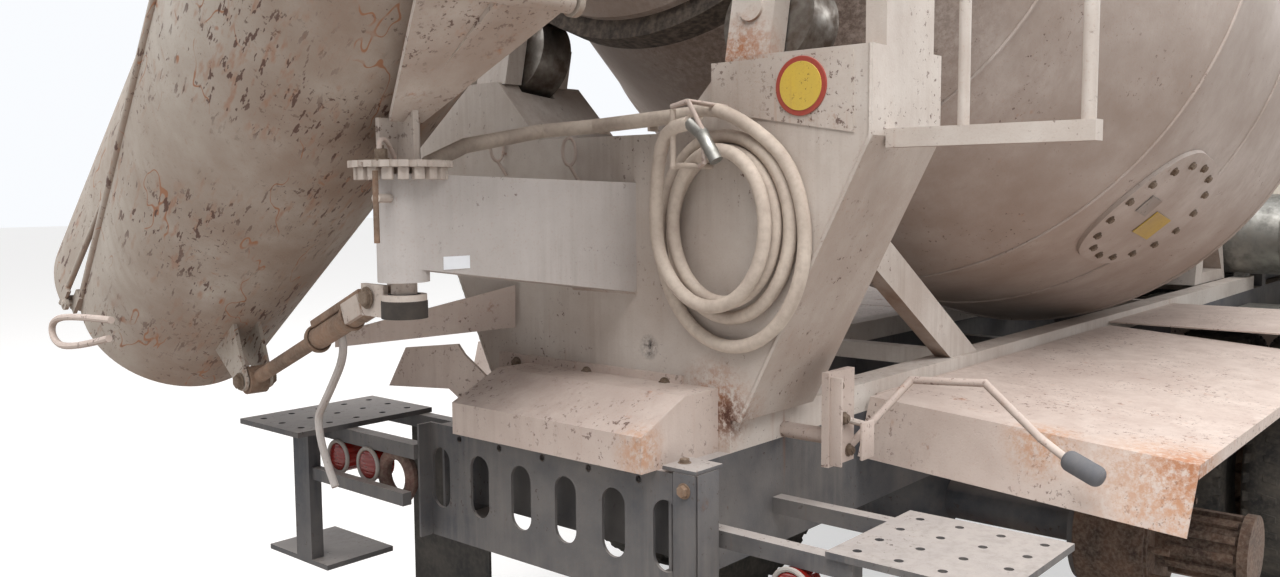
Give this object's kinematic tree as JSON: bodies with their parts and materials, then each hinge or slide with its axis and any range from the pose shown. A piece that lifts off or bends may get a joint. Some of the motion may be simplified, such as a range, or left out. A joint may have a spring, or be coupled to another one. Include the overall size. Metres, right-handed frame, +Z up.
{
  "type": "concrete mixer truck",
  "caption": "Three-axle concrete mixer truck with a tilted drum, rear pedestal, swung discharge chute, hose coil and a bare right rear hub.",
  "frame": {"origin": "middle of the truck's footprint, on the ground", "axes": "+X towards the cab, +Y to the truck's left, +Z up"},
  "size_m": [8.8798, 2.8985, 3.64],
  "materials": {
    "black_paint": "satin, dusty",
    "cab_glass": "tinted",
    "cab_plastic": "grained",
    "cream_paint": "matt, dusty",
    "flap_rubber": "matt",
    "hose_rubber": "dusty",
    "lamp_plastic": "gloss",
    "rusty_iron": "rusty",
    "tyre_rubber": "matt",
    "worn_steel": "worn"
  },
  "bodies": {
    "chassis": {"frame_rails": "black_paint", "rear_plate": "black_paint", "subframe": "cream_paint", "rear_pedestal": "cream_paint", "pedestal_cover": "cream_paint", "chute_arm": "cream_paint", "front_pedestal": "cream_paint", "charge_hopper": "cream_paint", "discharge_hopper": "cream_paint", "side_ladder": "cream_paint", "fender_right": "cream_paint", "fenders": "cream_paint", "rear_steps": "black_paint", "lamps": "lamp_plastic", "mudflaps": "flap_rubber", "front_axle": "black_paint", "drive_axles": "black_paint", "tanks": "worn_steel", "driveline": "black_paint", "bumper": "cream_paint", "control_lever": "cream_paint", "water_pipe": "worn_steel", "hose_coil": "hose_rubber", "hose_nozzle": "worn_steel"},
    "roller_left": {"roller_left": "worn_steel"},
    "roller_right": {"roller_right": "worn_steel"},
    "drum": {"drum_shell": "cream_paint", "drum_ring": "worn_steel", "manhole_cover": "cream_paint"},
    "cab": {"cab_shell": "cream_paint", "cab_glass": "cab_glass", "cab_interior": "cab_plastic", "mirrors": "cab_plastic"},
    "door_left": {"door_left": "cream_paint", "door_glass_left": "cab_glass"},
    "door_right": {"door_right": "cream_paint", "door_glass_right": "cab_glass"},
    "tie_rod": {"tie_rod": "black_paint"},
    "knuckle_left": {"knuckle_left": "black_paint"},
    "knuckle_right": {"knuckle_right": "black_paint"},
    "wheel_front_left": {"wheel_front_left": "cream_paint", "tyre_front_left": "tyre_rubber"},
    "wheel_front_right": {"wheel_front_right": "cream_paint", "tyre_front_right": "tyre_rubber"},
    "wheels_mid_left": {"wheels_mid_left": "cream_paint", "tyres_mid_left": "tyre_rubber"},
    "wheels_mid_right": {"wheels_mid_right": "cream_paint", "tyres_mid_right": "tyre_rubber"},
    "wheels_rear_left": {"wheels_rear_left": "cream_paint", "tyres_rear_left": "tyre_rubber"},
    "hub_rear_right": {"hub_rear_right": "rusty_iron"},
    "chute_swivel": {"chute_yoke": "cream_paint"},
    "chute": {"chute_main": "cream_paint"},
    "chute_end": {"chute_extension": "cream_paint"},
    "jack_barrel": {"jack_barrel": "worn_steel"},
    "jack_rod": {"jack_rod": "worn_steel"}
  },
  "joints": [
    {"name": "drum_spin", "type": "hinge", "parent": "chassis", "child": "drum", "pos_m": [-3.04, 0, 2.726], "axis": [0.9799, 0, -0.1994], "continuous": true},
    {"name": "roller_left_spin", "type": "hinge", "parent": "chassis", "child": "roller_left", "pos_m": [-3.17954, 0.43734, 2.04016], "axis": [0.9799, 0, -0.1994], "continuous": true},
    {"name": "roller_right_spin", "type": "hinge", "parent": "chassis", "child": "roller_right", "pos_m": [-3.17954, -0.43734, 2.04016], "axis": [0.9799, 0, -0.1994], "continuous": true},
    {"name": "steer_left", "type": "hinge", "parent": "chassis", "child": "knuckle_left", "pos_m": [2.99, 0.85, 0.52], "axis": [0, 0, 1], "range_deg": [-38, 38]},
    {"name": "steer_right", "type": "hinge", "parent": "chassis", "child": "knuckle_right", "pos_m": [2.99, -0.85, 0.52], "axis": [0, 0, 1], "range_deg": [-38, 38]},
    {"name": "tie_rod_pivot", "type": "hinge", "parent": "knuckle_left", "child": "tie_rod", "pos_m": [2.82, 0.85, 0.396], "axis": [0, 0, 1], "range_deg": [-38, 38]},
    {"name": "wheel_front_left_spin", "type": "hinge", "parent": "knuckle_left", "child": "wheel_front_left", "pos_m": [2.99, 0.935, 0.52], "axis": [0, 1, 0], "continuous": true},
    {"name": "wheel_front_right_spin", "type": "hinge", "parent": "knuckle_right", "child": "wheel_front_right", "pos_m": [2.99, -0.935, 0.52], "axis": [0, 1, 0], "continuous": true},
    {"name": "wheels_mid_left_spin", "type": "hinge", "parent": "chassis", "child": "wheels_mid_left", "pos_m": [-0.31, 0.935, 0.52], "axis": [0, 1, 0], "continuous": true},
    {"name": "wheels_mid_right_spin", "type": "hinge", "parent": "chassis", "child": "wheels_mid_right", "pos_m": [-0.31, -0.935, 0.52], "axis": [0, 1, 0], "continuous": true},
    {"name": "wheels_rear_left_spin", "type": "hinge", "parent": "chassis", "child": "wheels_rear_left", "pos_m": [-1.66, 0.935, 0.52], "axis": [0, 1, 0], "continuous": true},
    {"name": "hub_rear_right_spin", "type": "hinge", "parent": "chassis", "child": "hub_rear_right", "pos_m": [-1.66, -0.935, 0.52], "axis": [0, 1, 0], "continuous": true},
    {"name": "cab_tilt", "type": "hinge", "parent": "chassis", "child": "cab", "pos_m": [4.07, 0, 1.08], "axis": [0, 1, 0], "range_deg": [0, 50]},
    {"name": "door_left_swing", "type": "hinge", "parent": "cab", "child": "door_left", "pos_m": [4.17, 1.164, 1.5], "axis": [0, 0, -1], "range_deg": [0, 70]},
    {"name": "door_right_swing", "type": "hinge", "parent": "cab", "child": "door_right", "pos_m": [4.17, -1.164, 1.5], "axis": [0, 0, 1], "range_deg": [0, 70]},
    {"name": "chute_swing", "type": "hinge", "parent": "chassis", "child": "chute_swivel", "pos_m": [-3.96, 0, 1.718], "axis": [0, 0, 1], "range_deg": [0, 180]},
    {"name": "chute_tilt", "type": "hinge", "parent": "chute_swivel", "child": "chute", "pos_m": [-3.98441, -0.34915, 2.025], "axis": [-0.9976, 0.0698, 0], "range_deg": [-6, 1]},
    {"name": "chute_fold", "type": "hinge", "parent": "chute", "child": "chute_end", "pos_m": [-3.87338, 1.23877, 1.35508], "axis": [-0.9976, 0.0698, 0], "range_deg": [0, 180]},
    {"name": "jack_pivot", "type": "hinge", "parent": "chute_swivel", "child": "jack_barrel", "pos_m": [-3.95442, 0.07981, 1.425], "axis": [-0.9976, 0.0698, 0], "range_deg": [-11.03, 1.84]},
    {"name": "jack_slide", "type": "slide", "parent": "jack_barrel", "child": "jack_rod", "axis": [0.0646, 0.9242, -0.3764], "range_m": [-0.00765, 0.04589]}
  ],
  "couplings": [
    {"joint": "roller_left_spin", "follows": "drum_spin", "ratio": -5.6},
    {"joint": "roller_right_spin", "follows": "drum_spin", "ratio": -5.6},
    {"joint": "steer_right", "follows": "steer_left", "ratio": 1},
    {"joint": "tie_rod_pivot", "follows": "steer_left", "ratio": -1},
    {"joint": "jack_pivot", "follows": "chute_tilt", "ratio": 1.8387},
    {"joint": "jack_slide", "follows": "chute_tilt", "m_per_rad": -0.43823}
  ]
}
